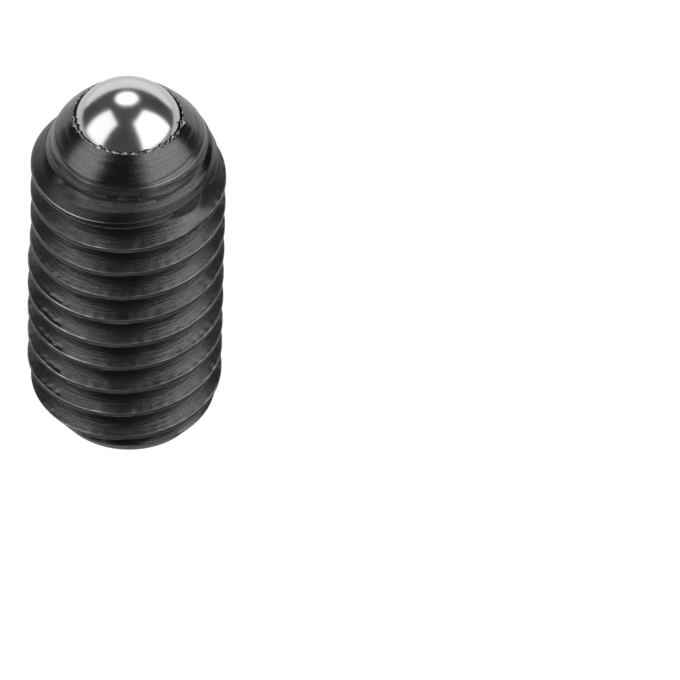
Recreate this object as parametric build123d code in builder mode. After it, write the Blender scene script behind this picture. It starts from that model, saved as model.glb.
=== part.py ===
from build123d import *
import os
from math import asin, ceil, degrees, radians, sqrt, tan

# A ball spring plunger: a threaded sleeve that holds a compression spring and a steel ball.
# Lengths are in millimetres. It stands on its socket end with its axis along +Z and the ball up,
# and the origin is at the centre of the socket end.

# Outside of the sleeve: a right-hand metric thread between a chamfered tail and a rounded nose
thread_diameter = 6.0
thread_pitch = 1.0
body_length = 12.0
nose_length = 1.88
nose_chamfer_width = 0.6
nose_chamfer_height = 0.645
neck_taper = 0.06
crown_height = 0.81
crown_round = 0.6
tail_chamfer_width = 0.75
tail_chamfer_height = 1.1

# Inside of the sleeve
sleeve_wall = 0.5966
socket_across_flats = 3.0
socket_depth = 2.6
socket_lead_in = 0.1
web_thickness = 0.7
rim_width = 0.05

# Ball and spring
ball_clearance = 0.04
ball_protrusion = 1.0
wire_diameter = 0.5
wire_sides = 6
spring_clearance = 0.12
spring_gap = 0.02
closed_coil_gap = 0.02
active_coils = 4
closed_coils = 1

# Thread form: 60 degree flanks, with the usual shares of the pitch for depth, crest and root
thread_flank_angle = 30.0
thread_depth = 0.6134 * thread_pitch
crest_flat = thread_pitch / 8
root_flat = thread_pitch / 6
thread_overcut = 0.05 * thread_pitch
thread_radius = thread_diameter / 2
root_radius = thread_radius - thread_depth

# The wall under the thread root sets the bore, the bore sets the ball, and the ball sets the rim
bore_radius = root_radius - sleeve_wall
ball_radius = bore_radius - ball_clearance
ball_height = body_length + ball_protrusion - ball_radius
seat_angle = degrees(asin((body_length - ball_height) / bore_radius))
opening_radius = sqrt(bore_radius**2 - (body_length - ball_height) ** 2)

# The nose is a chamfer, a short neck near the thread's root and a rounded crown up to the rim
neck_radius = thread_radius - nose_chamfer_width
neck_height = body_length - nose_length + nose_chamfer_height
rim_radius = opening_radius + rim_width

# The socket is broached in a drilled hole, whose point stops below the web
socket_corner_radius = socket_across_flats / sqrt(3)
socket_mouth_radius = socket_corner_radius + socket_lead_in
drill_point_angle = 118.0
drill_point_height = socket_across_flats / 2 / tan(radians(drill_point_angle / 2))
bore_floor = socket_depth + drill_point_height + web_thickness

# The spring stands on the bore's floor and ends where its inner edge meets the ball
spring_radius = bore_radius - spring_clearance - wire_diameter / 2
spring_inner_radius = spring_radius - wire_diameter / 2
spring_top = ball_height - sqrt((ball_radius + spring_gap) ** 2 - spring_inner_radius**2)
closed_pitch = wire_diameter + closed_coil_gap
closed_height = closed_coils * closed_pitch
active_height = spring_top - bore_floor - 2 * closed_height
active_pitch = active_height / active_coils

os.makedirs("parts", exist_ok=True)


# One turn of the thread groove, which stands just outside the sleeve's radius and root to root
groove_half_root = root_flat / 2
groove_outer_radius = thread_radius + thread_overcut
groove_half_mouth = (thread_pitch - crest_flat) / 2 + thread_overcut * tan(radians(thread_flank_angle))
groove_turns = ceil(body_length / thread_pitch) + 2

with BuildPart() as groove_turn:
    with BuildLine() as groove_line:
        Helix(thread_pitch, thread_pitch, root_radius, center=(0, 0, -thread_pitch))
    with BuildSketch(Plane.XZ):
        with Locations((0, -thread_pitch)):
            Polygon(
                (root_radius, -groove_half_root),
                (groove_outer_radius, -groove_half_mouth),
                (groove_outer_radius, groove_half_mouth),
                (root_radius, groove_half_root),
                align=None,
            )
    sweep(path=groove_line.line, is_frenet=True)


# Threaded sleeve: the turned outside, less the bore with its rolled-in seat, the hexagon socket
# and the thread groove, which runs out by itself on the nose and on the tail chamfer
with BuildPart() as threaded_body:
    with BuildSketch(Plane.XZ):
        with BuildLine():
            Polyline(
                (0, body_length),
                (0, 0),
                (thread_radius - tail_chamfer_width, 0),
                (thread_radius, tail_chamfer_height),
                (thread_radius, body_length - nose_length),
                (neck_radius, neck_height),
            )
            FilletPolyline(
                (neck_radius, neck_height),
                (neck_radius - neck_taper, body_length - crown_height),
                (rim_radius, body_length),
                radius=crown_round,
            )
            Line((rim_radius, body_length), (0, body_length))
        make_face()
    revolve(axis=Axis.Z)

    with BuildSketch(Plane.XZ):
        with BuildLine():
            Polyline(
                (0, body_length),
                (0, bore_floor),
                (bore_radius, bore_floor),
                (bore_radius, ball_height),
            )
            CenterArc((0, ball_height), bore_radius, 0, seat_angle)
            Line((opening_radius, body_length), (0, body_length))
        make_face()
    revolve(axis=Axis.Z, mode=Mode.SUBTRACT)

    with BuildSketch(Plane.XY):
        RegularPolygon(socket_across_flats / 2, 6, major_radius=False)
    extrude(amount=socket_depth, mode=Mode.SUBTRACT)
    with Locations((0, 0, socket_depth)):
        Cone(
            socket_across_flats / 2,
            0,
            drill_point_height,
            align=(Align.CENTER, Align.CENTER, Align.MIN),
            mode=Mode.SUBTRACT,
        )
    Cone(
        socket_mouth_radius,
        0,
        socket_mouth_radius,
        align=(Align.CENTER, Align.CENTER, Align.MIN),
        mode=Mode.SUBTRACT,
    )

    with Locations(*[(0, 0, turn * thread_pitch) for turn in range(groove_turns)]):
        add(groove_turn.part, mode=Mode.SUBTRACT)
threaded_body.part.label = "threaded_body"
export_step(threaded_body.part, "parts/threaded_body.step")


# Compression spring: closed coils at both ends with the active coils between them, and both
# ends ground flat. It is out of sight in the bore, so its round wire is drawn with a few flats
with BuildPart() as spring:
    for pitch, height, start in (
        (closed_pitch, closed_height, bore_floor),
        (active_pitch, active_height, bore_floor + closed_height),
        (closed_pitch, closed_height, spring_top - closed_height),
    ):
        with BuildLine() as coil_line:
            Helix(pitch, height, spring_radius, center=(0, 0, start))
        with BuildSketch(Plane.XZ):
            with Locations((spring_radius, start)):
                RegularPolygon(wire_diameter / 2, wire_sides)
        sweep(path=coil_line.line, is_frenet=True)
    with Locations((0, 0, bore_floor), (0, 0, spring_top + wire_diameter)):
        Cylinder(
            bore_radius,
            wire_diameter,
            align=(Align.CENTER, Align.CENTER, Align.MAX),
            mode=Mode.SUBTRACT,
        )
spring.part.label = "spring"
export_step(spring.part, "parts/spring.step")


# Ball, pressed up against the rim
with BuildPart() as ball:
    with Locations((0, 0, ball_height)):
        Sphere(ball_radius)
ball.part.label = "ball"
export_step(ball.part, "parts/ball.step")
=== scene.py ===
"""Looks of a ball spring plunger: a black threaded sleeve, a bright steel ball and a compression spring.

Every piece is a surface worked out with numpy, in the frame's own place and size. The sleeve stands on its
socket end, with its axis along +Z and the ball up. Lengths are in millimetres until a mesh is made. Azimuths
go from +X towards +Y, so the camera looks from 270 degrees, with 180 at the left and 0 at the right.
"""

from math import cos, pi, radians, sin, sqrt, tan

import bpy
import numpy as np
from mathutils import Matrix, Vector


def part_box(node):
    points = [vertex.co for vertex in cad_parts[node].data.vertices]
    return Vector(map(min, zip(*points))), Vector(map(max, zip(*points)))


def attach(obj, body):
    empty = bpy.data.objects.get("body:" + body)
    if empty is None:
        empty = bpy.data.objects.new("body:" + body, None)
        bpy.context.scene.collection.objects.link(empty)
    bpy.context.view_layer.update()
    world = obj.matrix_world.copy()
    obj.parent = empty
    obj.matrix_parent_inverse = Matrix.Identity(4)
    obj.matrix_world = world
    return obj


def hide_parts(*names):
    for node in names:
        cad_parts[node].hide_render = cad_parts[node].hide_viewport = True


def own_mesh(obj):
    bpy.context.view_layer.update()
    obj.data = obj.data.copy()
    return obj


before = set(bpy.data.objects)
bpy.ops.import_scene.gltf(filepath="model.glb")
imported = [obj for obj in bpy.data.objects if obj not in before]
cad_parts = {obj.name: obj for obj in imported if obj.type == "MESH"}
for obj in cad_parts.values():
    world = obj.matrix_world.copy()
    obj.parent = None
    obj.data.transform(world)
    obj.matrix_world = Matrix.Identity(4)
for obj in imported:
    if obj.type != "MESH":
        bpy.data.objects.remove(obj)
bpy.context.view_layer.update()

MM = 0.001
TURN = 2 * pi

# Sizes that the frame gives
_, sleeve_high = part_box("threaded_body")
ball_low, ball_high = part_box("ball")
spring_low, spring_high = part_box("spring")
SLEEVE_LENGTH = sleeve_high.z / MM
THREAD_RADIUS = sleeve_high.x / MM
BALL_RADIUS = (ball_high.z - ball_low.z) / 2 / MM
BALL_HEIGHT = (ball_high.z + ball_low.z) / 2 / MM
SPRING_FLOOR = spring_low.z / MM
SPRING_TOP = spring_high.z / MM
SPRING_OUTER_RADIUS = spring_high.x / MM

# Thread: right-hand, 60 degrees, with its root on a whole pitch at azimuth 0
PITCH = 1.0
THREAD_DEPTH = 0.6134 * PITCH
CREST_HALF_WIDTH = PITCH / 16
FLANK_SLOPE = 1 / tan(radians(30))
CREST_ROUND = 0.018
ROOT_ROUND = 0.04

# The groove in which the thread runs out on the nose, where groove 0 is over the crest at half a pitch
TOPMOST_GROOVE = 9

# Share of its depth that the groove under that one has lost in a short stretch, and its rounding there
FILLED_SHARE = 0.45
FILLED_EDGE_ROUND = 0.12

# Turned tail: a chamfer cut a little out of true
TAIL_RADIUS = 2.25
TAIL_HEIGHT = 1.1
TAIL_LEAN = 0.19

# Turned nose: a chamfer, lower at the back, then a short neck that widens downwards, and a domed crown
CHAMFER_FOOT = 10.18
CHAMFER_SLOPE = 0.93
CHAMFER_LEAN = 0.08
NECK_SLOPE = 0.39
CROWN_FOOT = 11.22
CROWN_FOOT_WANDER = 0.07
CROWN_FOOT_RADIUS = 2.36
CROWN_ARC_RADIUS = 4.375
TURNED_ROUND = 0.02

# Marks of turning: ridges and a groove on the neck, and drifting rings that fade in at the nose's foot
NECK_RIDGES = (10.81, 10.93)
NECK_RIDGE_HEIGHT = 0.012
NECK_RIDGE_HALF_WIDTH = 0.03
NECK_GROOVE = 11.03
NECK_GROOVE_DEPTH = 0.022
NECK_GROOVE_HALF_WIDTH = 0.035
RING_DEPTH = 0.0035
RING_DRIFT = 0.02
RING_FADE = 0.4

# Marks of rolling: crests that wander along the axis, and how far from their edges it still moves the flanks
COARSE_WANDER = 0.006
FINE_WANDER = 0.004
WANDER_REACH = 0.09

# Laps over the crests: they fade in from one azimuth and break off raggedly at another, both in degrees
LAP_FROM = 194
LAP_FADE = 9
LAP_TO = 229
LAP_BREAK_WANDER = 3
LAP_BREAK_SOFTNESS = 0.7
LAP_DEPTH = 0.055
LAP_HALF_WIDTH = 0.028
LAP_OVER_EDGE = 0.05
LAP_WANDER = 0.008

# Crests are lower on one side, from this height up
WORN_FROM = 6.8
WORN_FADE = 0.12
WORN_DEPTH = 0.085

# Inside: the bore with its seat rolled over the ball, the hexagon socket and its drill point
BALL_CLEARANCE = 0.04
BORE_RADIUS = BALL_RADIUS + BALL_CLEARANCE
RIM_OVER_BALL = SLEEVE_LENGTH - BALL_HEIGHT
OPENING_RADIUS = sqrt(BORE_RADIUS**2 - RIM_OVER_BALL**2)
RIM_WIDTH = 0.05
SOCKET_ACROSS_FLATS = 3.0
SOCKET_DEPTH = 2.6
SOCKET_LEAD_IN = 0.1
DRILL_POINT_ANGLE = 118.0
DRILL_POINT_HEIGHT = SOCKET_ACROSS_FLATS / 2 / tan(radians(DRILL_POINT_ANGLE / 2))

# Low burrs all round the rim, and tall ones: azimuth and half width in degrees, and height
LOW_BURR_HEIGHT = 0.006
RIM_BURRS = (
    (186, 2.0, 0.05),
    (196, 2.6, 0.06),
    (207, 1.8, 0.05),
    (222, 1.2, 0.03),
    (238, 1.8, 0.07),
    (248, 1.4, 0.05),
    (255, 1.6, 0.05),
    (260, 1.0, 0.03),
    (267, 1.8, 0.05),
    (276, 1.2, 0.03),
    (291, 4.0, 0.045),
    (309, 1.8, 0.08),
    (318, 1.2, 0.04),
    (326, 2.0, 0.06),
    (335, 1.2, 0.03),
    (350, 2.6, 0.09),
)

# Rings over the rim, from outside in: where each lies, as a share of the rim's width, how far it leans out
# with a burr's height, its lift over the sleeve's end, and how far it rises with a burr's height
RIM_RINGS = (
    (0.85, 0.9, 0.0, 0.6),
    (0.45, 0.5, 0.004, 1.1),
    (0.0, -0.4, -0.004, 1.0),
)

# Spring: one closed coil at each end with the active coils between them
WIRE_RADIUS = 0.25
CLOSED_COIL_GAP = 0.02
CLOSED_PITCH = 2 * WIRE_RADIUS + CLOSED_COIL_GAP
ACTIVE_COILS = 4

# How finely the surfaces are divided
SLEEVE_COLUMNS = 264
NOSE_ROWS = 38
SEAT_ROWS = 9
BALL_COLUMNS = 192
WIRE_COLUMNS = 20
WIRE_STATIONS_PER_TURN = 64

# The sleeve's rows climb with the thread between these heights, and are level under and over them
CLIMB_FROM = 0.1
CLIMB_TO = SLEEVE_LENGTH - 0.78

# Tones of the oxide: deep, worn thin, worn off and painted highlight on the crests' edges, and gone from the
# rim's burrs
OXIDE_DARK = 0.058
OXIDE_LIGHT = 0.15
RUBBED_AND_HIGHLIGHT_TONE = 0.8
OXIDE_BARE = 0.3

# Roughness of the oxide on the thread and on the nose, and what its grainy cast adds
THREAD_ROUGHNESS = 0.27
NOSE_ROUGHNESS = 0.14
CAST_ROUGHNESS = 0.08

# Grain of the fine wear on a polished or oxidised face and on drawn wire, in waves a metre
FINE_GRAIN = 16000.0
COARSE_GRAIN = 6000.0

# Light that the floor gives, near the sleeve and behind it, and how bright the camera sees it
FLOOR_NEAR = 0.3
FLOOR_BEHIND = 0.7
FLOOR_SEEN = 0.98

# Light that the room gives, and how bright the camera sees it
ROOM_LIGHT = 0.07
ROOM_SEEN = 1.0

# Camera, as the photograph has it: a long lens from 44 degrees above the floor
CAMERA_ELEVATION = 44.436
CAMERA_DISTANCE = 270.3
CAMERA_AIM_RIGHT = 6.548
CAMERA_AIM_UP = -2.378
CAMERA_ROLL = 2.18
LENS = 470.0
SENSOR = 36.0


def soft_ramp(x, size):
    """Zero for x well below 0 and x for x well above 0, with a hyperbola of the given size between them."""
    return (x + np.sqrt(x * x + size * size)) / 2


def soft_least(a, b, size):
    """The lesser of two surfaces, with the edge where they meet rounded to the given size."""
    return a - soft_ramp(a - b, size)


def round_ramp(x, size):
    """Zero below -size and x above size, with a parabola between them that meets both smoothly."""
    inside = np.clip(x + size, 0, 2 * size)
    return inside**2 / (4 * size) + np.maximum(x - size, 0)


def bump_at(x, centre, half_width):
    """A bell of height 1 round the centre, which falls off as exp(-x squared) in units of the half width."""
    return np.exp(-(((x - centre) / half_width) ** 2))


def arc_window(angle, centre, half_width, softness):
    """1 inside an arc of azimuths given in degrees and 0 outside it, with soft ends."""
    offset = (np.degrees(angle) - centre + 180) % 360 - 180
    return 1 / (1 + np.exp((np.abs(offset) - half_width) / softness))


def ripples(angle, height, seed, waves, turns, rise):
    """Irregular ripples round the axis with a mean square of 1: a sum of cosines, each with a whole number
    of waves round the axis, at most turns, and a phase that climbs at most rise radians a millimetre."""
    draw = np.random.default_rng(seed)
    total = np.zeros(np.broadcast(angle, height).shape)
    for _ in range(waves):
        total = total + np.cos(
            draw.integers(0, turns + 1) * angle + draw.uniform(-rise, rise) * height + draw.uniform(0, TURN)
        )
    return total / sqrt(waves / 2)


def crown_radius(height):
    """Radius of the domed crown: one large arc through its foot and the rim, centred past the axis."""
    rim_radius = OPENING_RADIUS + RIM_WIDTH
    half = np.hypot(CROWN_FOOT_RADIUS - rim_radius, SLEEVE_LENGTH - CROWN_FOOT) / 2
    reach = sqrt(CROWN_ARC_RADIUS**2 - half**2) / (2 * half)
    centre_radius = (CROWN_FOOT_RADIUS + rim_radius) / 2 - reach * (SLEEVE_LENGTH - CROWN_FOOT)
    centre_height = (CROWN_FOOT + SLEEVE_LENGTH) / 2 - reach * (CROWN_FOOT_RADIUS - rim_radius)
    rise = np.clip(height - centre_height, 0, CROWN_ARC_RADIUS)
    return centre_radius + np.sqrt(CROWN_ARC_RADIUS**2 - rise**2)


def blank_radius(angle, height):
    """Radius of the turned outside: the least of the tail's cone, the cylinder and the nose, where the nose
    is the greater of its chamfer and of the lesser of neck and crown. Tail and chamfer lean: a cosine or a
    sine of the azimuth moves them in height. The crown's foot wanders in the same way."""
    tail_share = (height + TAIL_LEAN * np.cos(angle)) / TAIL_HEIGHT
    tail = TAIL_RADIUS + (THREAD_RADIUS - TAIL_RADIUS) * tail_share
    up_chamfer = height - CHAMFER_FOOT + CHAMFER_LEAN * (1 + np.sin(angle))
    chamfer = THREAD_RADIUS - CHAMFER_SLOPE * up_chamfer
    neck = CROWN_FOOT_RADIUS + NECK_SLOPE * (CROWN_FOOT + CROWN_FOOT_WANDER * np.cos(angle) - height)
    upper = soft_least(neck + turning_ridges(height), crown_radius(height), TURNED_ROUND)
    nose = chamfer + soft_ramp(upper - chamfer, 2 * TURNED_ROUND)
    radius = soft_least(np.full_like(tail, THREAD_RADIUS), tail, TURNED_ROUND)
    return soft_least(radius, nose, TURNED_ROUND) - worn_side(angle, height)


def turning_ridges(height):
    """Coarse ridges that the tool's last steps left on the neck, and a groove just under the crown's foot,
    each a bell in height."""
    ridges = sum(bump_at(height, top, NECK_RIDGE_HALF_WIDTH) for top in NECK_RIDGES)
    groove = bump_at(height, NECK_GROOVE, NECK_GROOVE_HALF_WIDTH)
    return NECK_RIDGE_HEIGHT * ridges - NECK_GROOVE_DEPTH * groove


def worn_side(angle, height):
    """Crests of the upper turns are a little lower on one side, where the blank was thin."""
    upper_turns = 1 / (1 + np.exp((WORN_FROM - height) / WORN_FADE))
    return WORN_DEPTH * arc_window(angle, centre=180, half_width=48, softness=8) * upper_turns


def thread_depth_at(offset):
    """Depth of the thread form at a distance from the nearest crest's middle, along the axis: none over the
    flat crest, then a 30 degree flank down to the flat root, with both corners rounded."""
    ramp = (offset - CREST_HALF_WIDTH) * FLANK_SLOPE
    return soft_ramp(ramp, CREST_ROUND) - round_ramp(ramp - THREAD_DEPTH, ROOT_ROUND)


def profile_offsets():
    """Offsets from the crest's middle for the rows of one pitch, close together at the corners: the crest,
    its upper edge and the flank over it, then the root, and the next crest's flank and lower edge."""
    crest = np.array([-0.03, 0.03])
    edge = np.array([0.055, 0.0625, 0.070, 0.078, 0.088, 0.098, 0.108, 0.119])
    flank = np.linspace(0.145, 0.43, 7)
    next_flank = np.array([-0.5, -0.43, -0.37, -0.30, -0.22, -0.14])
    return np.concatenate([crest, edge, flank, 1 + next_flank, 1 - edge[3::-1]]) * PITCH


def sleeve_outside(angle, height):
    """Radius of the sleeve's outside: the lesser of the turned blank and the thread form, which climbs one
    pitch a turn, less the marks that rolling and turning leave on them. Each point lies in the groove
    between the crest under it and the crest over it, and the nearer flank gives its depth."""
    phase = height / PITCH - angle / TURN - 0.5
    groove = np.floor(phase)
    under = (phase - groove) * PITCH
    over = PITCH - under
    lift, drop, filled = last_grooves(angle, groove)
    nearest = np.minimum(under - lift, over - drop)
    wander = crest_wander(angle, phase) * bump_at(nearest, CREST_HALF_WIDTH, WANDER_REACH)
    depth = thread_depth_at(nearest + wander) * (1 - filled)
    blank = blank_radius(angle, height) + turning_marks(angle, height)
    edge_round = TURNED_ROUND + FILLED_EDGE_ROUND * np.sqrt(filled)
    radius = soft_least(blank, THREAD_RADIUS - depth, edge_round)
    return radius - rolling_laps(angle, height, under)


def crest_wander(angle, phase):
    """How far the crests' edges wander along the axis: coarse and fine ripples of the distance along the
    helix, counted in turns from crest to crest and stretched, so that no two turns are alike."""
    stretch = 7
    along = (angle + TURN * np.round(phase)) / stretch
    coarse = ripples(along, 0, seed=11, waves=24, turns=90, rise=0)
    fine = ripples(along, 0, seed=12, waves=16, turns=400, rise=0)
    return COARSE_WANDER * coarse + FINE_WANDER * fine


def last_grooves(angle, groove):
    """How the last two grooves come up short of the full form: how far the lower flank is lifted, how far
    the upper one is dropped, and the share of the depth that is filled. The topmost groove is narrower
    from below at the left, and from above at the front right, where it gains a little from below. The one
    under it is filled in a short stretch there, out of which its upper flank moves."""
    topmost = groove == TOPMOST_GROOVE
    lift = 0.22 * arc_window(angle, centre=175, half_width=40, softness=14)
    widened = 0.045 * arc_window(angle, centre=315, half_width=22, softness=6)
    drop = 0.17 * arc_window(angle, centre=305, half_width=26, softness=5)
    stretch = arc_window(angle, centre=318, half_width=13, softness=4)
    filled = FILLED_SHARE * stretch * (groove == TOPMOST_GROOVE - 1)
    return topmost * (lift - widened), topmost * drop - filled * PITCH, filled


def turning_marks(angle, height):
    """Rings left by the tool on the nose: cosines of the height, with a slight drift of that round the axis.
    They fade in over the chamfer's foot."""
    on_nose = np.clip((height - CHAMFER_FOOT) / RING_FADE, 0, 1)
    drift = RING_DRIFT * ripples(angle, 0, seed=21, waves=5, turns=5, rise=0)
    rings = ripples(0 * angle, height + drift, seed=22, waves=14, turns=0, rise=42)
    return RING_DEPTH * on_nose * rings


def rolling_laps(angle, height, under):
    """Laps where the rolled crest has folded over: a ragged narrow groove just over the crest's upper edge.
    In each turn it fades in at the left and breaks off towards the front, and a fainter, broken one follows
    at the right. They are deepest at a third of the sleeve's length."""
    azimuth = np.degrees(angle)
    ragged = ripples(angle, height, seed=31, waves=12, turns=60, rise=6)
    fade_in = 1 - np.exp(-np.clip(azimuth - LAP_FROM, 0, None) / LAP_FADE)
    past_break = azimuth - LAP_TO - LAP_BREAK_WANDER * ragged
    break_off = 1 / (1 + np.exp(past_break / LAP_BREAK_SOFTNESS))
    right = 0.3 * arc_window(angle, centre=316, half_width=20, softness=3) * np.clip(0.4 + ragged, 0, 1)
    lower_turns = bump_at(height, centre=4.3, half_width=3)
    groove = bump_at(under, CREST_HALF_WIDTH + LAP_OVER_EDGE + LAP_WANDER * ragged, LAP_HALF_WIDTH)
    return LAP_DEPTH * (fade_in * break_off + right) * lower_turns * groove


def rim_rag(angle):
    """Small burrs where the rim was rolled over the ball: low teeth all round, and tall bells in front."""
    teeth = LOW_BURR_HEIGHT * np.clip(ripples(angle, 0, seed=51, waves=20, turns=70, rise=0), 0, 2)
    for azimuth, half_width, tall in RIM_BURRS:
        offset = (np.degrees(angle) - azimuth + 180) % 360 - 180
        teeth = teeth + tall * bump_at(offset, 0, half_width)
    return teeth


def around_axis(angle, radius, height):
    """Points of a grid from their azimuth, radius and height. Each may be a number, a row with a value for
    each column, a column with a value for each row, or a whole grid."""
    angle, radius, height = np.broadcast_arrays(np.atleast_2d(angle), radius, height)
    return np.stack([radius * np.cos(angle), radius * np.sin(angle), height], axis=-1)


def point_numbers(grid, first):
    """Numbers for the points of a grid, row by row, counted up from the first."""
    rows, columns = grid.shape[:2]
    return first + np.arange(rows * columns).reshape(rows, columns)


def closed_columns(index):
    """The same grid with its first column repeated at the end, so that it closes round the axis."""
    return np.concatenate([index, index[:, :1]], axis=1)


def pole(number, columns):
    """A row of a grid whose columns all meet in the point of that number."""
    return np.full((1, columns), number)


def strip_triangles(index):
    """Two triangles for each cell of a grid of point numbers, without the empty ones."""
    a, b = index[:-1, :-1], index[:-1, 1:]
    c, d = index[1:, 1:], index[1:, :-1]
    triangles = np.concatenate([np.stack(corners, -1).reshape(-1, 3) for corners in ((a, b, c), (a, c, d))])
    first, second, third = triangles.T
    return triangles[(first != second) & (second != third) & (third != first)]


def capped_triangles(index):
    """Triangles of a grid that closes round the axis, drawn in to point 0 before its first row and to point
    1 after its last one."""
    columns = index.shape[1]
    return strip_triangles(closed_columns(np.concatenate([pole(0, columns), index, pole(1, columns)])))


def socket_rings(angle):
    """Rings from the drill point's tip out to the tail: the cone, the broached hexagon, its lead-in and the
    end face. The hexagon's radius is its half width over the cosine of the angle from the nearest flat."""
    half_width = SOCKET_ACROSS_FLATS / 2
    hexagon = half_width / np.cos((angle % radians(60)) - radians(30))
    mouth = half_width / cos(radians(30)) + SOCKET_LEAD_IN
    lead_in = mouth - hexagon
    cone = np.linspace(0.08, 1, 4)[:, None]
    flats = np.linspace(1, 0, 4)[1:, None]
    face = np.linspace(0, 1, 3)[:, None]
    tail = sleeve_outside(angle, 0.0)
    return np.concatenate(
        [
            around_axis(angle, half_width * cone, SOCKET_DEPTH + DRILL_POINT_HEIGHT * (1 - cone)),
            around_axis(angle, hexagon, SOCKET_DEPTH),
            around_axis(angle, hexagon, lead_in + (SOCKET_DEPTH - lead_in) * flats),
            around_axis(angle, mouth + (tail - mouth) * face, 0.0),
        ]
    )


def nose_rings(angle, start):
    """Rings from the top of the thread up the nose, over the ragged rim, down the seat's arc and the bore's
    wall to its floor. At the burrs the rim's two outer rings lean out and the inner one over the ball."""
    up_nose = np.linspace(start, SLEEVE_LENGTH - 0.012, NOSE_ROWS)[:, None]
    rag = rim_rag(angle)
    rim = []
    for share, lean, lift, rise in RIM_RINGS:
        radius = OPENING_RADIUS + share * RIM_WIDTH + lean * rag
        rim.append(around_axis(angle, radius, SLEEVE_LENGTH + lift + rise * rag))
    seat = np.linspace(np.arcsin(RIM_OVER_BALL / BORE_RADIUS), 0, SEAT_ROWS)[1:, None]
    wall = np.linspace(BALL_HEIGHT, SPRING_FLOOR, 3)[1:, None]
    floor = np.linspace(BORE_RADIUS, 0.3, 3)[1:, None]
    return np.concatenate(
        [
            around_axis(angle, sleeve_outside(angle, up_nose), up_nose),
            *rim,
            around_axis(angle, BORE_RADIUS * np.cos(seat), BALL_HEIGHT + BORE_RADIUS * np.sin(seat)),
            around_axis(angle, BORE_RADIUS, wall),
            around_axis(angle, floor, SPRING_FLOOR),
        ]
    )


def sleeve_mesh():
    """The whole sleeve as one closed surface. The threaded stretch is a grid whose rows climb one pitch a
    turn, so that they follow the crests, and whose heights are held between two level rings. There the rows
    of the socket and of the nose take over in the same columns."""
    angle = np.arange(SLEEVE_COLUMNS) * TURN / SLEEVE_COLUMNS
    offsets = profile_offsets()
    first_turn = int(np.floor(CLIMB_FROM / PITCH)) - 2
    last_turn = int(np.ceil(CLIMB_TO / PITCH)) + 1
    turns = np.arange(first_turn, last_turn) * PITCH + PITCH / 2
    row_height = (turns[:, None] + offsets[None, :]).ravel()
    climb = row_height[:, None] + PITCH * angle / TURN
    height = np.clip(climb, CLIMB_FROM, CLIMB_TO)
    threaded = around_axis(angle, sleeve_outside(angle, height), height)

    last_below = around_axis(angle, sleeve_outside(angle, CLIMB_FROM), CLIMB_FROM)
    below = np.concatenate([socket_rings(angle), last_below])
    above = nose_rings(angle, CLIMB_TO)
    tips = np.array([[0, 0, SOCKET_DEPTH + DRILL_POINT_HEIGHT], [0, 0, SPRING_FLOOR]])
    below_index = point_numbers(below, len(tips))
    threaded_index = point_numbers(threaded, below_index[-1, -1] + 1)
    above_index = point_numbers(above, threaded_index[-1, -1] + 1)

    index = np.where(climb >= CLIMB_TO, above_index[0], threaded_index)
    index = np.where(climb <= CLIMB_FROM, below_index[-1], index)
    rows_per_turn = len(offsets)
    next_turn = np.full(len(index), above_index[0, 0])
    next_turn[:-rows_per_turn] = index[rows_per_turn:, 0]
    threaded_grid = np.concatenate([index, next_turn[:, None]], axis=1)

    points = np.concatenate([tips] + [rings.reshape(-1, 3) for rings in (below, threaded, above)])
    below_grid = closed_columns(np.concatenate([pole(0, SLEEVE_COLUMNS), below_index]))
    above_grid = closed_columns(np.concatenate([above_index, pole(1, SLEEVE_COLUMNS)]))
    grids = (below_grid, threaded_grid, above_grid)
    triangles = np.concatenate([strip_triangles(grid) for grid in grids])
    used, renumbered = np.unique(triangles, return_inverse=True)
    return points[used], renumbered.reshape(-1, 3)


def ball_mesh():
    """A sphere of rings between two poles on the axis."""
    angle = np.arange(BALL_COLUMNS) * TURN / BALL_COLUMNS
    rise = np.linspace(-pi / 2, pi / 2, BALL_COLUMNS // 2 + 1)[1:-1, None]
    rings = around_axis(angle, BALL_RADIUS * np.cos(rise), BALL_HEIGHT + BALL_RADIUS * np.sin(rise))
    poles = np.array([[0, 0, BALL_HEIGHT - BALL_RADIUS], [0, 0, BALL_HEIGHT + BALL_RADIUS]])
    index = point_numbers(rings, len(poles))
    return np.concatenate([poles, rings.reshape(-1, 3)]), capped_triangles(index)


def spring_mesh():
    """Round wire along a helix whose pitch is closed for the first and the last turn and open between them.
    Both ends are ground: no point lies below the floor or over the top."""
    active_height = SPRING_TOP - SPRING_FLOOR - 2 * CLOSED_PITCH
    coils = ACTIVE_COILS + 2
    turned = np.linspace(0, coils, coils * WIRE_STATIONS_PER_TURN + 1)[:, None]
    climbed = np.cumsum([0, CLOSED_PITCH, active_height, CLOSED_PITCH])
    height = SPRING_FLOOR + np.interp(turned, [0, 1, coils - 1, coils], climbed)
    section = np.arange(WIRE_COLUMNS) * TURN / WIRE_COLUMNS
    middle = SPRING_OUTER_RADIUS - WIRE_RADIUS
    level = np.clip(height + WIRE_RADIUS * np.sin(section), SPRING_FLOOR, SPRING_TOP)
    tube = around_axis(turned * TURN, middle + WIRE_RADIUS * np.cos(section), level)
    ends = np.array([[middle, 0, SPRING_FLOOR + WIRE_RADIUS / 2], [middle, 0, SPRING_TOP - WIRE_RADIUS / 2]])
    index = point_numbers(tube, len(ends))
    return np.concatenate([ends, tube.reshape(-1, 3)]), capped_triangles(index)[:, ::-1]


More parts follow.
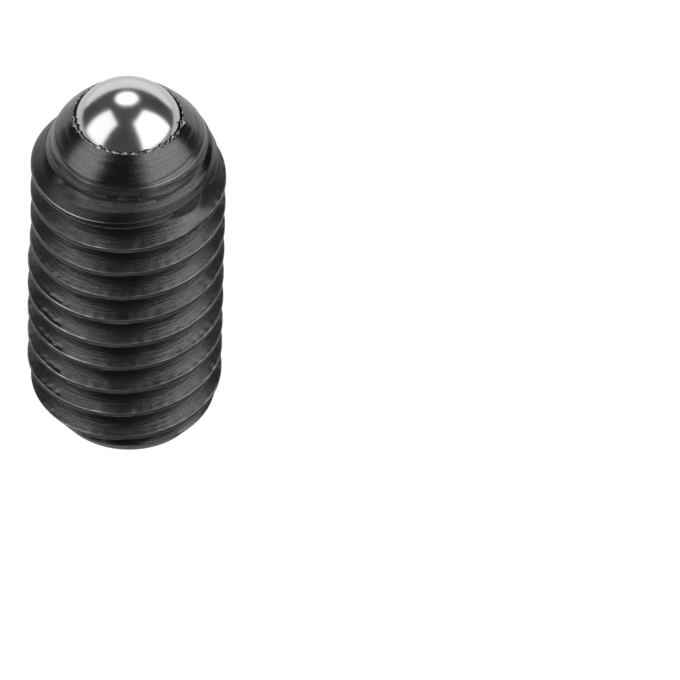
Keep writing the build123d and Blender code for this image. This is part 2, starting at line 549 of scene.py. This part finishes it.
def piece(name, surface, material, node, body):
    """Puts a surface into a mesh in metres, smooth but for sharp edges, in the place of its frame node."""
    points, triangles = surface
    mesh = bpy.data.meshes.new(name)
    mesh.from_pydata((points * MM).tolist(), [], triangles.tolist())
    mesh.polygons.foreach_set("use_smooth", np.ones(len(mesh.polygons), bool))
    mesh.set_sharp_from_angle(angle=radians(40))
    mesh.materials.append(material)
    made = bpy.data.objects.new(name, mesh)
    bpy.context.scene.collection.objects.link(made)
    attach(made, body)
    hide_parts(node)
    return made


def new_material(name):
    """A new material, its node tree and the shader in it."""
    material = bpy.data.materials.new(name)
    material.use_nodes = True
    tree = material.node_tree
    return material, tree, tree.nodes["Principled BSDF"]


def put(tree, socket, value):
    """Sets a socket to a plain value, or links it where the value is another socket."""
    if isinstance(value, bpy.types.NodeSocket):
        tree.links.new(value, socket)
    else:
        socket.default_value = value


def add(tree, kind, **inputs):
    """A node of that kind, with its inputs set by name to a value or linked to another node's socket."""
    node = tree.nodes.new(kind)
    for name, value in inputs.items():
        put(tree, node.inputs[name.replace("_", " ")], value)
    return node


def calculate(tree, operation, first, second=0.0):
    """The result of one Math node on two values or sockets."""
    node = tree.nodes.new("ShaderNodeMath")
    node.operation = operation
    put(tree, node.inputs[0], first)
    put(tree, node.inputs[1], second)
    return node.outputs[0]


def plus(tree, first, second):
    """The sum of two values or sockets."""
    return calculate(tree, "ADD", first, second)


def minus(tree, first, second):
    """The first value or socket less the second."""
    return calculate(tree, "SUBTRACT", first, second)


def times(tree, first, second):
    """The product of two values or sockets."""
    return calculate(tree, "MULTIPLY", first, second)


def apart(tree, first, second):
    """How far two values or sockets are apart."""
    return calculate(tree, "ABSOLUTE", minus(tree, first, second))


def greater(tree, first, second):
    """The greater of two values or sockets."""
    return calculate(tree, "MAXIMUM", first, second)


def blend(tree, factor, first, second):
    """The first value where the factor is 0 and the second where it is 1."""
    return add(tree, "ShaderNodeMix", Factor=factor, A=first, B=second).outputs["Result"]


def remap(tree, value, low, high, to_low, to_high):
    """The value moved from one range to another, held inside the second."""
    node = add(tree, "ShaderNodeMapRange", Value=value)
    for name, number in (("From Min", low), ("From Max", high), ("To Min", to_low), ("To Max", to_high)):
        node.inputs[name].default_value = number
    return node.outputs["Result"]


def window(tree, value, start, full, fading, end):
    """1 while the value lies between full and fading and 0 before the start and past the end, with ramps."""
    return times(tree, remap(tree, value, start, full, 0.0, 1.0), remap(tree, value, fading, end, 1.0, 0.0))


def noise(tree, vector, scale, detail, roughness):
    """The value of a Noise Texture, 0 to 1, read at a vector."""
    texture = add(tree, "ShaderNodeTexNoise", Vector=vector, Scale=scale, Detail=detail, Roughness=roughness)
    return texture.outputs["Fac"]


def vector_of(tree, x, y, z):
    """A vector from three values or sockets."""
    return add(tree, "ShaderNodeCombineXYZ", X=x, Y=y, Z=z).outputs[0]


def bump(tree, height, depth, strength, normal=None):
    """A Bump node whose depth is in millimetres, on top of another normal where one is given."""
    node = add(tree, "ShaderNodeBump", Height=height, Distance=depth * MM, Strength=strength)
    if normal is not None:
        tree.links.new(normal, node.inputs["Normal"])
    return node.outputs["Normal"]


def fine_wear_group():
    """Fine wear that every piece shares: a grain from fine noise and soft smudges from one that is 20 times
    as coarse. Scale sets the grain in waves a metre. It puts out a height for a bump and a mask for colour
    and roughness."""
    group = bpy.data.node_groups.new("fine_wear", "ShaderNodeTree")
    sockets = group.interface
    sockets.new_socket("Scale", in_out="INPUT", socket_type="NodeSocketFloat")
    sockets.new_socket("Height", in_out="OUTPUT", socket_type="NodeSocketFloat")
    sockets.new_socket("Smudge", in_out="OUTPUT", socket_type="NodeSocketFloat")
    scale = group.nodes.new("NodeGroupInput").outputs["Scale"]
    output = group.nodes.new("NodeGroupOutput")
    place = group.nodes.new("ShaderNodeTexCoord").outputs["Object"]
    grain = noise(group, place, scale, detail=2.0, roughness=0.6)
    smudge = noise(group, place, times(group, scale, 1 / 20), detail=3.0, roughness=0.55)
    group.links.new(grain, output.inputs["Height"])
    group.links.new(smudge, output.inputs["Smudge"])
    return group


def wear(tree, group, scale):
    """Places the shared wear in a material at its own scale."""
    node = tree.nodes.new("ShaderNodeGroup")
    node.node_tree = group
    node.inputs["Scale"].default_value = scale
    return node.outputs["Height"], node.outputs["Smudge"]


def tool_marks(tree, x, y, height, along, offset, on_nose):
    """Noise drawn out into streaks along the thread's helix and, on the nose, into rings round the axis. It
    puts out both mixed, and each by itself."""
    fineness = 26
    streak_place = vector_of(tree, along, times(tree, offset, fineness), 0.0)
    streaks = noise(tree, streak_place, 1.1, detail=4.0, roughness=0.6)
    ring_size = 2.2 * MM
    across, deep = (calculate(tree, "DIVIDE", side, ring_size) for side in (x, y))
    ring_place = vector_of(tree, across, deep, times(tree, height, fineness))
    rings = noise(tree, ring_place, 1.0, detail=4.0, roughness=0.65)
    return blend(tree, on_nose, streaks, rings), streaks, rings


def run_out_painted_shade_and_light(tree, height, turns):
    """Tone where the thread runs out on the nose, as a factor, and a mask of its stretch with pits: the
    chamfer carries painted shade, darker than the rest, and the flank over it has pits in front and at the
    right, where it carries painted light, paler than the rest."""
    climb = times(tree, plus(tree, turns, 0.25), 0.9 * PITCH)
    chamfer_edge = 10.49
    over_chamfer = remap(tree, minus(tree, height, climb), chamfer_edge, chamfer_edge + 0.05, 0.0, 1.0)
    arc = window(tree, turns, start=-0.36, full=-0.33, fading=-0.1, end=-0.05)
    band = window(tree, height, start=10.12, full=10.2, fading=10.8, end=10.94)
    pitted_and_painted_light = times(tree, times(tree, over_chamfer, arc), band)
    # painted shade darkens the chamfer, and painted light makes the flank with pits paler
    painted_shade = times(tree, minus(tree, band, pitted_and_painted_light), remap(tree, turns, -0.42, -0.34, 0.45, 0.6))
    return plus(tree, minus(tree, 1.0, painted_shade), times(tree, pitted_and_painted_light, 0.12)), pitted_and_painted_light


def rubbed_edges_and_highlights(tree, x, height, turns, offset, streaks, rings):
    """Mask of light lines that are partly oxide worn off and partly painted highlight: a thin, broken line
    along both edges of the crests, strongest at the left, then at the far right and behind, and a faint one
    at the crown's foot."""
    from_crest = calculate(tree, "ABSOLUTE", offset)
    line = remap(tree, apart(tree, from_crest, CREST_HALF_WIDTH), 0.0, 0.015, 1.0, 0.0)
    broken = remap(tree, streaks, 0.35, 0.65, 0.2, 1.0)
    threaded = remap(tree, height, CHAMFER_FOOT, CHAMFER_FOOT + 0.3, 1.0, 0.0)
    left = remap(tree, turns, -0.3, -0.2, 1.0, 0.26)
    far_right = remap(tree, turns, -0.12, -0.08, 0.0, 0.8)
    line = times(tree, times(tree, line, broken), times(tree, threaded, greater(tree, left, far_right)))
    wander = times(tree, x, CROWN_FOOT_WANDER / (CROWN_FOOT_RADIUS * MM))
    from_foot = apart(tree, minus(tree, height, wander), CROWN_FOOT - 0.01)
    foot = remap(tree, from_foot, 0.0, 0.03, 0.5, 0.0)
    return greater(tree, line, times(tree, foot, rings))


def shaded_strip(tree, turns, offset):
    """Mask of painted shade: a dark strip on the crests, just inside their upper edge, at the right and
    behind.
    """
    strip = remap(tree, apart(tree, offset, CREST_HALF_WIDTH - 0.03), 0.01, 0.03, 1.0, 0.0)
    return times(tree, strip, remap(tree, turns, -0.26, -0.18, 0.0, 0.5))


def black_oxide(fine_wear):
    """Satin black oxide on steel. Fine streaks follow the thread's helix, rings run round the nose, the
    edges of the crests are worn to a lighter grey that also serves as painted highlight, and the rim's burrs
    are bare. Where the thread runs out, the chamfer carries painted shade and the flank over it painted
    light, and a strip on the crests carries painted shade. A rough, grainy cast comes and goes with the
    smudges. Turns count from -0.5 at the left through -0.25 in front to 0 at the right."""
    material, tree, shader = new_material("black_oxide")
    place = tree.nodes.new("ShaderNodeTexCoord").outputs["Object"]
    x, y, z = add(tree, "ShaderNodeSeparateXYZ", Vector=place).outputs
    height = calculate(tree, "DIVIDE", z, MM)
    turns = calculate(tree, "DIVIDE", calculate(tree, "ARCTAN2", y, x), TURN)
    phase = minus(tree, calculate(tree, "DIVIDE", height, PITCH), plus(tree, turns, 0.5))
    crest = calculate(tree, "ROUND", phase)
    offset = times(tree, minus(tree, phase, crest), PITCH)
    along = times(tree, plus(tree, crest, turns), TURN * THREAD_RADIUS)
    on_nose = remap(tree, height, CHAMFER_FOOT + 0.3, CROWN_FOOT - 0.2, 0.0, 1.0)

    marks, streaks, rings = tool_marks(tree, x, y, height, along, offset, on_nose)
    grain, smudge = wear(tree, fine_wear, FINE_GRAIN)
    # painted shade on the chamfer and painted light on the flank over it, where the thread runs out
    run_out_shade_and_light, pitted_and_painted_light = run_out_painted_shade_and_light(tree, height, turns)
    rough = greater(tree, remap(tree, smudge, 0.35, 0.65, 0.3, 1.0), times(tree, pitted_and_painted_light, 2.0))

    tone = blend(tree, marks, OXIDE_DARK, OXIDE_LIGHT)
    tone = times(tree, tone, times(tree, run_out_shade_and_light, remap(tree, grain, 0.3, 0.7, 0.86, 1.14)))
    # painted shade: a dark strip just inside the crests' upper edge
    tone = times(tree, tone, minus(tree, 1.0, shaded_strip(tree, turns, offset)))
    # light lines on the crests' edges: partly worn oxide, partly painted highlight strongest at the sides
    rubbed_and_highlit = rubbed_edges_and_highlights(tree, x, height, turns, offset, streaks, rings)
    burred = remap(tree, height, SLEEVE_LENGTH - 0.004, SLEEVE_LENGTH + 0.012, 0.0, 1.0)
    bare = blend(tree, burred, blend(tree, rubbed_and_highlit, tone, RUBBED_AND_HIGHLIGHT_TONE), OXIDE_BARE)
    tree.links.new(bare, shader.inputs["Base Color"])
    shader.inputs["Metallic"].default_value = 1.0

    satin = blend(tree, on_nose, THREAD_ROUGHNESS, NOSE_ROUGHNESS)
    tree.links.new(plus(tree, satin, times(tree, rough, CAST_ROUGHNESS)), shader.inputs["Roughness"])
    grainy = times(tree, rough, remap(tree, on_nose, 0.0, 1.0, 1.0, 0.5))
    marked = bump(tree, marks, depth=0.014, strength=0.7)
    grained = bump(tree, times(tree, grain, grainy), depth=0.012, strength=0.6, normal=marked)
    tree.links.new(grained, shader.inputs["Normal"])
    return material


def bright_steel(fine_wear, name, tone, roughness, grain):
    """Polished steel with a very fine grain, whose tone and roughness change a little with its smudges."""
    material, tree, shader = new_material(name)
    pits, smudge = wear(tree, fine_wear, grain)
    ramp = add(tree, "ShaderNodeValToRGB", Fac=smudge)
    ramp.color_ramp.elements[0].color = (tone * 0.8, tone * 0.8, tone * 0.81, 1)
    ramp.color_ramp.elements[1].color = (tone * 1.15, tone * 1.15, tone * 1.15, 1)
    tree.links.new(ramp.outputs["Color"], shader.inputs["Base Color"])
    shader.inputs["Metallic"].default_value = 1.0
    dulled = remap(tree, smudge, 0.3, 0.7, roughness * 0.8, roughness * 1.3)
    tree.links.new(dulled, shader.inputs["Roughness"])
    tree.links.new(bump(tree, pits, depth=0.001, strength=0.15), shader.inputs["Normal"])
    return material


def floor_material():
    """A pale floor that gives its own soft light, more of it behind the sleeve than near it, so that almost
    no shadow shows on it. From below it is clear."""
    material, tree, shader = new_material("pale_floor")
    shader.inputs["Base Color"].default_value = (0.08, 0.08, 0.08, 1)
    shader.inputs["Roughness"].default_value = 1.0
    shader.inputs["Specular IOR Level"].default_value = 0.0
    shader.inputs["Emission Color"].default_value = (1, 1, 1, 1)
    place = tree.nodes.new("ShaderNodeTexCoord").outputs["Object"]
    back = add(tree, "ShaderNodeSeparateXYZ", Vector=place).outputs["Y"]
    given = remap(tree, back, 4 * MM, 16 * MM, FLOOR_NEAR, FLOOR_BEHIND)
    seen = tree.nodes.new("ShaderNodeLightPath").outputs["Is Camera Ray"]
    tree.links.new(blend(tree, seen, given, FLOOR_SEEN), shader.inputs["Emission Strength"])
    clear = tree.nodes.new("ShaderNodeBsdfTransparent")
    under = tree.nodes.new("ShaderNodeNewGeometry").outputs["Backfacing"]
    either = tree.nodes.new("ShaderNodeMixShader")
    tree.links.new(under, either.inputs[0])
    tree.links.new(shader.outputs[0], either.inputs[1])
    tree.links.new(clear.outputs[0], either.inputs[2])
    tree.links.new(either.outputs[0], tree.nodes["Material Output"].inputs["Surface"])
    return material


def add_floor():
    """A level square just under the sleeve, far wider than the view."""
    half = 400 * MM
    mesh = bpy.data.meshes.new("floor")
    corners = [(-half, -half, 0), (half, -half, 0), (half, half, 0), (-half, half, 0)]
    mesh.from_pydata(corners, [], [(0, 1, 2, 3)])
    mesh.materials.append(floor_material())
    floor = bpy.data.objects.new("floor", mesh)
    bpy.context.scene.collection.objects.link(floor)
    floor.location.z = -0.01 * MM


def toward(azimuth, elevation):
    """Unit vector from the object, in degrees. Here azimuth 0 is the camera's side, -Y, and 90 is +X."""
    a, e = radians(azimuth), radians(elevation)
    return Vector((sin(a) * cos(e), -cos(a) * cos(e), sin(e)))


def softbox(name, shape, place, size, radiance, lift=0.0):
    """An area light at a place counted from the ball, which it faces, and then moved straight up by its
    lift. Its power is radiance times pi times the area of its rectangle."""
    light = bpy.data.lights.new(name, "AREA")
    light.shape = shape
    light.size, light.size_y = size[0] * MM, size[1] * MM
    light.energy = radiance * pi * light.size * light.size_y
    box = bpy.data.objects.new(name, light)
    bpy.context.scene.collection.objects.link(box)
    box.location = (place + Vector((0, 0, BALL_HEIGHT + lift))) * MM
    box.rotation_euler = place.to_track_quat("Z", "Y").to_euler()
    box.visible_camera = False


def add_lights():
    """A tall softbox at each side, a round one over the top and a pale arched screen behind."""
    softbox("softbox_left", "RECTANGLE", toward(-72, 19) * 200, size=(184, 271), radiance=1.6, lift=72)
    softbox("softbox_right", "RECTANGLE", toward(64.4, 5) * 200, size=(305, 428), radiance=1.78, lift=214)
    softbox("softbox_top", "ELLIPSE", toward(-175, 61) * 200, size=(128, 124), radiance=1.5)
    softbox("screen_behind", "ELLIPSE", toward(180, 0) * 300, size=(715, 380), radiance=0.75)


def add_room():
    """An even white world: pale where the camera sees it and dim as light."""
    world = bpy.data.worlds.new("room")
    bpy.context.scene.world = world
    world.use_nodes = True
    tree = world.node_tree
    background = tree.nodes["Background"]
    seen = tree.nodes.new("ShaderNodeLightPath").outputs["Is Camera Ray"]
    strength = remap(tree, seen, 0.0, 1.0, ROOM_LIGHT, ROOM_SEEN)
    tree.links.new(strength, background.inputs["Strength"])
    background.inputs["Color"].default_value = (1, 1, 1, 1)


def add_camera():
    """The camera looks at a point beside the sleeve, which so stands at the left of the picture."""
    camera_data = bpy.data.cameras.new("camera")
    camera_data.lens = LENS
    camera_data.sensor_width = SENSOR
    camera_data.clip_start = 0.01
    camera_data.clip_end = 10.0
    camera = bpy.data.objects.new("camera", camera_data)
    bpy.context.scene.collection.objects.link(camera)
    middle = Vector((0, 0, SLEEVE_LENGTH / 2 * MM))
    back = toward(0, CAMERA_ELEVATION)
    right = Vector((1, 0, 0))
    camera.location = middle + back * CAMERA_DISTANCE * MM
    aim = middle + (right * CAMERA_AIM_RIGHT + back.cross(right) * CAMERA_AIM_UP) * MM
    look = (aim - camera.location).to_track_quat("-Z", "Y").to_matrix()
    camera.rotation_euler = (look @ Matrix.Rotation(radians(CAMERA_ROLL), 3, "Z")).to_euler()
    bpy.context.scene.camera = camera


fine_wear = fine_wear_group()
sleeve_finish = black_oxide(fine_wear)
ball_finish = bright_steel(fine_wear, "polished_steel", tone=0.63, roughness=0.19, grain=FINE_GRAIN)
wire_finish = bright_steel(fine_wear, "spring_wire", tone=0.5, roughness=0.3, grain=COARSE_GRAIN)

piece("sleeve", sleeve_mesh(), sleeve_finish, node="threaded_body", body="body")
piece("polished_ball", ball_mesh(), ball_finish, node="ball", body="ball")
coil = piece("coil_spring", spring_mesh(), wire_finish, node="spring", body="body")
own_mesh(coil)

add_floor()
add_lights()
add_room()
add_camera()
bpy.context.scene.view_settings.view_transform = "Standard"
